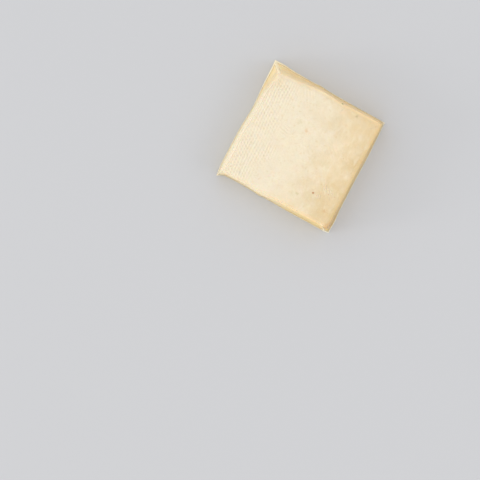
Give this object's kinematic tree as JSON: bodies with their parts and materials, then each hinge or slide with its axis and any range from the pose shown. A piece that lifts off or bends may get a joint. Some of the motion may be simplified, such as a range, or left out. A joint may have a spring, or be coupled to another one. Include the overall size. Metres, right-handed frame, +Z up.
{
  "type": "feta block",
  "caption": "Square block of pale cream feta in clear shrunk film, ribbed on one side of its face, with small pinched corner ears and a thin trimmed rim.",
  "frame": {"origin": "on the table, under the middle of the block's own box", "axes": "+Z up out of the face, +X towards the plain side of the face, away from its ribs, +Y along the ribs towards the tucked corner's side"},
  "size_m": [0.0702, 0.0702, 0.0166],
  "materials": {
    "wrapped_cheese": "pale cream cheese seen through clear satin film",
    "clear_film": "thin clear film, satin, milky where it is pinched or folded",
    "flecks": "dull brown and olive specks in the cheese"
  },
  "bodies": {
    "root": {"feta_block": "wrapped_cheese"}
  },
  "joints": []
}
